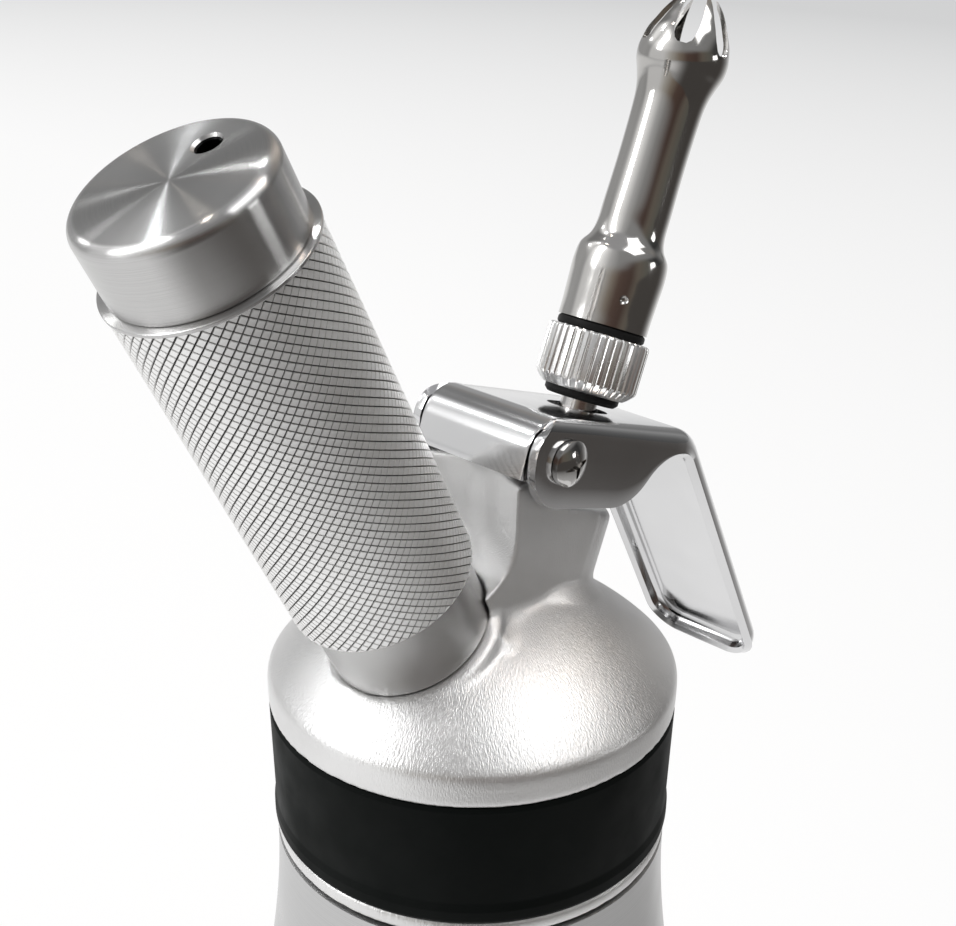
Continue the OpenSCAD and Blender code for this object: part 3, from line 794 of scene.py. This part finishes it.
def nut():
    """The adapter: a nut with straight teeth, and the spigot that carries the tip."""
    teeth, radius, bore = 40, 8.5, 2.4
    # The groove before each tooth, as parts of its pitch and depths
    groove = ((0.0, 0.45), (0.06, 0.42), (0.2, 0.1), (0.28, 0.0), (0.72, 0.0), (0.8, 0.1),
              (0.94, 0.42))
    outline = [(2 * pi * (i + part) / teeth, depth) for i in range(teeth) for part, depth in groove]
    profile = [(STEM_HOLE, NUT_LOW), (6.75, NUT_LOW), (7.3, 48.9), (8.3, 49.9), (radius, 50.3),
               (radius, 57.6), (8.32, 58.0), (8.0, NUT_HIGH), (SPIGOT_RADIUS, NUT_HIGH),
               (SPIGOT_RADIUS, SPIGOT_HIGH), (bore, SPIGOT_HIGH)]
    rings = []
    for level, z in profile:
        rims = [(min(radius - depth, level), a) for a, depth in outline]
        rings.append([(r * cos(a), r * sin(a), z) for r, a in rims])
    keep(shape("knurled_nut", sum(rings, []), loft(rings, closed=False), NOZZLE, 25),
         "knurled_nut", "adapter", "adapter_nut")


def seals():
    """A thin black ring under the nut, which is painted shade for the dark below it, and the ring
    between the nut and the tip.
    """
    # Painted shade: this black ring under the nut stands in for the shade and dark reflection there
    shade_ring = rounded([(STEM_HOLE, 47.1), (5.6, 47.1, 0.3), (6.2, 47.7, 0.2), (6.2, NUT_LOW),
                      (STEM_HOLE, NUT_LOW)])
    keep(lathe("nut_shade_ring", shade_ring, NOZZLE, 96), "black_rubber", "adapter")
    inner, outer = SPIGOT_RADIUS + 0.02, 7.3
    ring = rounded([(inner, NUT_HIGH), (outer, NUT_HIGH, 0.55), (outer, TIP_LOW, 0.55),
                    (inner, TIP_LOW)])
    keep(lathe("nozzle_seal", ring, NOZZLE), "black_rubber", "adapter", "adapter_o_ring")


def stem():
    """The valve's hollow stem, with its foot and its thrust collar."""
    foot, collar, bore = 4.6, 5.8, 1.8
    profile = rounded([(AXIS, -9), (foot, -9, 0.3), (foot, -6.2, 0.3), (STEM_RADIUS, -6.2),
                       (STEM_RADIUS, COLLAR_LOW), (collar, COLLAR_LOW, 0.4),
                       (collar, COLLAR_HIGH, 0.4), (STEM_RADIUS, COLLAR_HIGH), (STEM_RADIUS, 60),
                       (bore, 60), (bore, 2), (AXIS, 2)])
    keep(lathe("stem_turned", profile, NOZZLE, 96), "polished_steel", "valve", "valve_stem")


def spring():
    """A coil between the guide and the thrust collar, which the valve's slide squashes."""
    turns, radius, wire = 4, 4.7, 0.5
    low, high = GUIDE_HIGH + wire + 0.02, COLLAR_LOW - wire - 0.02
    count, around = 40 * turns, 12
    rings = []
    for i in range(count + 1):
        t = i / count
        a = 2 * pi * turns * t
        out = Vector((cos(a), sin(a), 0))
        centre = out * radius + Vector((0, 0, low + (high - low) * t))
        rings.append([tuple(centre + out * wire * cos(b) + Vector((0, 0, wire * sin(b))))
                      for b in (2 * pi * k / around for k in range(around))])
    ends = [tuple(range(around)), tuple(range(count * around, (count + 1) * around))]
    obj = shape("coil", sum(rings, []), loft(rings, closed=False) + ends, NOZZLE, 60)
    keep(obj, "spring_steel", "head", "valve_spring")
    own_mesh(obj)


# ------------------------------------------------------------------ studio

def floor():
    """Pale paper with painted light: its glow is white near the object and greyer far behind it."""
    nodes = Nodes("studio_floor")
    rays = nodes.add("ShaderNodeLightPath").outputs
    where = nodes.add("ShaderNodeNewGeometry").outputs["Position"]
    centre, white_to, grey_from = (-1.4, 1.4, 0), 2.05, 3.95  # in metres
    away = nodes.spread(nodes.vector("DISTANCE", where, centre), 0, 1, white_to, grey_from)
    # Painted light: the glow fades from white near the object to grey far behind it, as light falls
    # off
    tone = nodes.tint(away, (1, 1, 1), (0.66, 0.665, 0.67), 0, 1)
    nodes.set(Base_Color=(0.95, 0.95, 0.95, 1), Roughness=0.9)
    glow = nodes.add("ShaderNodeEmission", {"Color": tone, "Strength": 1.0})
    seen = nodes.math("ADD", rays["Is Camera Ray"], rays["Is Glossy Ray"])
    # The rest of the floor's tone is lit, so that the object's shadow shows
    share = nodes.math("MULTIPLY", seen, 0.85)
    nodes.show(share, nodes.shader.outputs[0], glow.outputs[0])
    half = 9000
    corners = [(x * half, y * half, 0) for x, y in ((-1, -1), (1, -1), (1, 1), (-1, 1))]
    ground = shape("floor", corners, [(0, 1, 2, 3)], Matrix())
    ground.data.materials.append(nodes.material)


def flag():
    """A dark cloth on the floor in front, which only the metal sees."""
    nodes = Nodes("flag")
    where = nodes.add("ShaderNodeNewGeometry").outputs["Position"]
    front, side, middle = radians(280), -0.1, 0.72  # it fades out towards both sides
    facing = nodes.vector("DOT_PRODUCT", nodes.vector("NORMALIZE", where),
                          (cos(front), sin(front), 0))
    near, far = 0.18, 0.5  # metres from the axis, between which it darkens
    away = nodes.spread(nodes.vector("LENGTH", where), 0, 1, near, far)
    tone = nodes.tint(away, (0.55, 0.545, 0.54), (0.085, 0.078, 0.073), 0, 1)
    clear = nodes.add("ShaderNodeBsdfTransparent")
    glow = nodes.add("ShaderNodeEmission", {"Color": tone, "Strength": 1.0})
    nodes.show(nodes.step(facing, side, middle), clear.outputs[0], glow.outputs[0])
    inner, outer, first, last, steps = 180, 13000, -180, 20, 24
    rims = [arc((0, 0), radius, first, last, steps) for radius in (inner, outer)]
    verts = [(x, y, 1) for pair in zip(*rims) for x, y in pair]
    faces = [(2 * i, 2 * i + 1, 2 * i + 3, 2 * i + 2) for i in range(steps)]
    cloth = shape("flag", verts, faces, Matrix())
    cloth.data.materials.append(nodes.material)
    cloth.visible_camera = cloth.visible_shadow = False


def lamp(name, azimuth, elevation, far, size, power, colour=(1, 1, 1)):
    """A soft box that looks at the middle of the object, from far metres away."""
    middle = Vector((0, 0, 0.2))
    azimuth, elevation = radians(azimuth), radians(elevation)
    flat = cos(elevation)
    place = middle + far * Vector((cos(azimuth) * flat, sin(azimuth) * flat, sin(elevation)))
    data = bpy.data.lights.new(name, "AREA")
    data.shape = "RECTANGLE"
    data.size, data.size_y = size
    data.energy = power
    data.color = colour
    obj = bpy.data.objects.new(name, data)
    obj.location = place
    obj.rotation_euler = (middle - place).to_track_quat("-Z", "Y").to_euler()
    scene.collection.objects.link(obj)


def lamps():
    """A tall window to the left, a soft box overhead, and small ones whose rays the
    turned metal shows."""
    lamp("window", 147, 40, 1.4, (0.36, 0.85), 5.5)
    lamp("overhead", 292, 60, 1.7, (1.3, 0.9), 11)
    lamp("spot_main", 111, 50, 2.2, (0.12, 0.12), 3.4, (0.95, 0.98, 1))
    lamp("spot_cool", 67, 55, 2.2, (0.08, 0.08), 2.2)
    lamp("spot_high", 119, 67, 2.2, (0.08, 0.08), 1.4, (1, 0.9, 0.8))
    lamp("spot_low", 103, 29, 2.2, (0.2, 0.2), 1.1)
    lamp("spot_front", 305, 6, 2.0, (0.5, 0.3), 2)
    lamp("spot_warm", 322, 60, 2.0, (0.25, 0.25), 2, (1, 0.74, 0.54))


def room():
    """A dark room in front and pale walls behind, which only reflections show."""
    world = bpy.data.worlds.new("studio")
    scene.world = world
    world.use_nodes = True
    nodes = Tree(world.node_tree)
    way = nodes.add("ShaderNodeSeparateXYZ",
                    {0: nodes.add("ShaderNodeTexCoord").outputs["Generated"]}).outputs
    angle = nodes.math("ARCTAN2", way["Y"], way["X"])
    share = nodes.add("ShaderNodeMapRange", {"Value": angle, "From Min": -pi, "From Max": pi,
                                             "To Min": -0.5, "To Max": 0.5}).outputs[0]
    whole = nodes.math("FLOORED_MODULO", share, 1.0)

    def ring(bands):
        """Greys or colours round the horizon, by angle from +X."""
        ramp = nodes.add("ShaderNodeValToRGB", {"Fac": whole})
        elements = ramp.color_ramp.elements
        while len(elements) < len(bands):
            elements.new(0.5)
        # The colours come last, because a new position can change the order
        for element, (place, *_) in zip(elements, bands):
            element.position = place / 360
        for element, (_, *colour) in zip(elements, bands):
            element.color = (*(colour * 3)[:3], 1)
        return ramp.outputs["Color"]

    def mix(factor, low, high):
        inputs = {"Factor": factor, "A": low, "B": high}
        return nodes.add("ShaderNodeMix", inputs, data_type="RGBA").outputs["Result"]

    low = ring([(0, 0.33), (8, 0.22), (26, 0.3), (34, 0.4), (44, 0.42), (54, 0.42), (100, 0.50),
                (118, 0.45), (127, 0.85), (166, 0.85), (184, 0.55, 0.53, 0.49),
                (206, 0.28, 0.235, 0.19), (226, 0.12, 0.08, 0.065), (250, 0.09, 0.06, 0.05),
                (266, 0.17, 0.145, 0.12), (286, 0.15, 0.145, 0.125), (303, 0.07), (326, 0.05),
                (344, 0.15), (359, 0.33)])
    high = ring([(0, 0.45, 0.41, 0.37), (22, 0.9, 0.80, 0.71), (40, 0.35, 0.33, 0.31), (53, 0.26),
                 (84, 0.27), (94, 0.6), (103, 1.4), (112, 1.3), (122, 0.8), (133, 1.4), (141, 1.5),
                 (166, 1.2), (190, 0.60), (215, 0.35), (330, 0.28), (359, 0.42, 0.38, 0.34)])
    ceiling, backdrop = (0.45, 0.45, 0.46, 1), (0.74, 0.745, 0.75, 1)
    # Heights are sines of the angle over the horizon
    walls = mix(nodes.step(way["Z"], 0.28, 0.5), low, high)
    inside = mix(nodes.step(way["Z"], 0.76, 0.9), walls, ceiling)
    seen = mix(nodes.add("ShaderNodeLightPath").outputs["Is Camera Ray"], inside, backdrop)
    nodes.put(seen, world.node_tree.nodes["Background"].inputs["Color"])


look()
finishes = materials()
for part in frame["record"]["subparts"]:
    dress(frame["nodes"][part["node"]], part["material_slot"])
bottle()
head()
band()
holder()
sleeve()
lever()
tip()
nut()
seals()
stem()
screw()
spring()
floor()
flag()
lamps()
room()
scene.view_settings.view_transform = "Standard"
bpy.context.view_layer.update()
